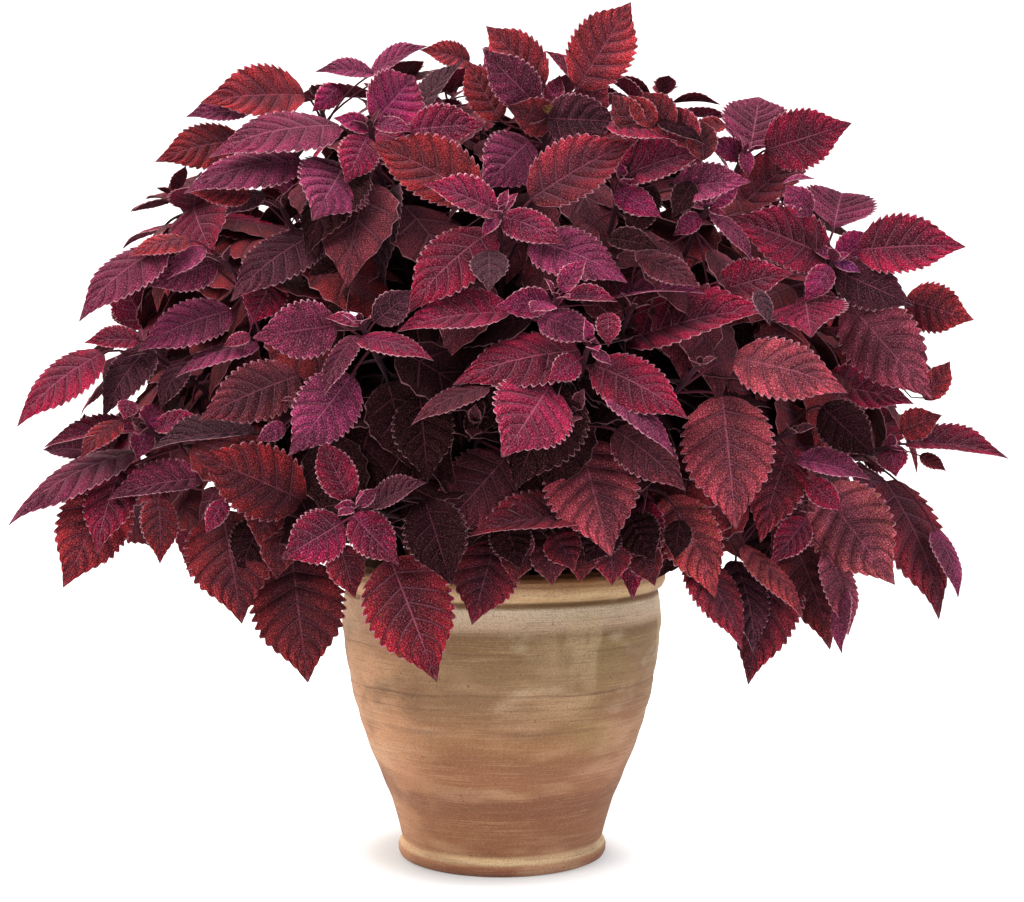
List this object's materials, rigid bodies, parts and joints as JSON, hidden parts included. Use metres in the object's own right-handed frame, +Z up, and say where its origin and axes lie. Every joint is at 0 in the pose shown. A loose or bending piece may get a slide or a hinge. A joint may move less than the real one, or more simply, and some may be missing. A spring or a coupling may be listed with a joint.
{
  "type": "potted coleus plant",
  "caption": "Bushy coleus with toothed magenta, crimson and brick-red leaves on branching stems, rooted in soil in a thrown terracotta pot.",
  "frame": {"origin": "centre of the pot's flat base, where it stands", "axes": "+Z up, -Y towards the plant's fullest side, +X to the right seen from there"},
  "size_m": [0.7876, 0.6154, 0.7084],
  "materials": {
    "clay": "matte",
    "soil": "matte",
    "leaf": "satin"
  },
  "bodies": {
    "root": {"pot": "clay", "soil": "soil", "stem_crown": "leaf", "stem_upper_left": "leaf", "stem_left_shoulder": "leaf", "stem_far_left": "leaf", "stem_left_heart": "leaf", "stem_lower_left": "leaf", "stem_low_heart": "leaf", "stem_high_centre": "leaf", "stem_centre": "leaf", "stem_low_centre": "leaf", "stem_low_middle": "leaf", "stem_upper_middle": "leaf", "stem_upper_right": "leaf", "stem_right": "leaf", "stem_right_middle": "leaf", "stem_far_right": "leaf", "stem_low_right": "leaf", "stem_back_high_1": "leaf", "stem_back_high_2": "leaf", "stem_back_high_3": "leaf", "stem_back_high_4": "leaf", "stem_back_low_1": "leaf", "stem_back_low_2": "leaf", "stem_back_low_3": "leaf", "stem_back_low_4": "leaf", "stem_back_low_5": "leaf"}
  },
  "joints": []
}
